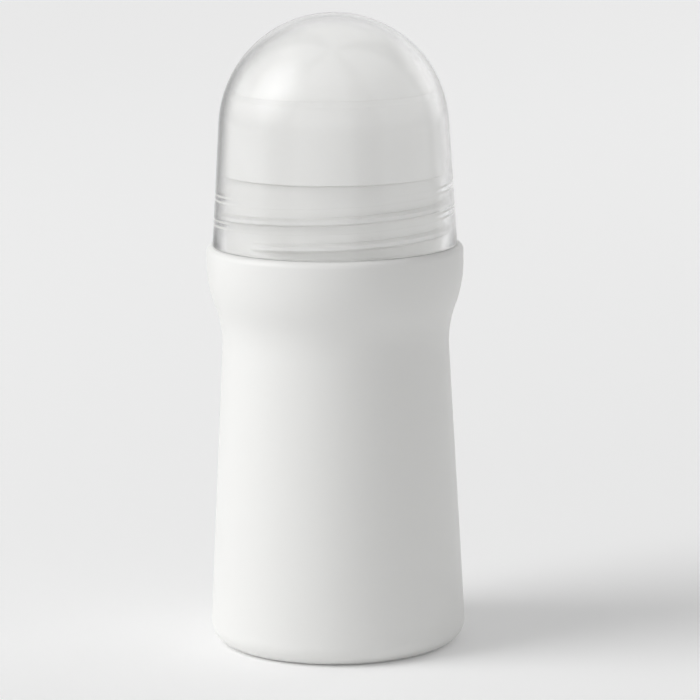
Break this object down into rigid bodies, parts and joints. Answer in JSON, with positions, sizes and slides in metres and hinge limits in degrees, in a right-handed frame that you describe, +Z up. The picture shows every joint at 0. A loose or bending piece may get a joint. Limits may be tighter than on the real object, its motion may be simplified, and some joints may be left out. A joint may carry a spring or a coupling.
{
  "type": "roll-on deodorant",
  "caption": "Waisted plastic bottle with a roller ball held in a snap-in collar, under a clear domed cap that lifts off.",
  "frame": {"origin": "centre of the base, on the surface that the pack stands on", "axes": "+Z up along the pack's axis, towards the cap; the ball rolls about +X"},
  "size_m": [0.0438, 0.0438, 0.1083],
  "materials": {
    "bottle_plastic": "white, satin to matt, blow-moulded",
    "housing_plastic": "natural white, smooth injection-moulded",
    "ball_plastic": "white, ground and polished",
    "clear_plastic": "clear, glossy, injection-moulded"
  },
  "bodies": {
    "bottle": {"bottle": "bottle_plastic", "ball_housing": "housing_plastic"},
    "ball": {"roller_ball": "ball_plastic"},
    "cap": {"cap": "clear_plastic"}
  },
  "joints": [
    {"name": "ball_roll", "type": "hinge", "parent": "bottle", "child": "ball", "pos_m": [0, 0, 0.089], "axis": [1, 0, 0], "continuous": true},
    {"name": "cap_lift", "type": "slide", "parent": "bottle", "child": "cap", "axis": [0, 0, 1], "range_m": [0, 0.045]}
  ]
}
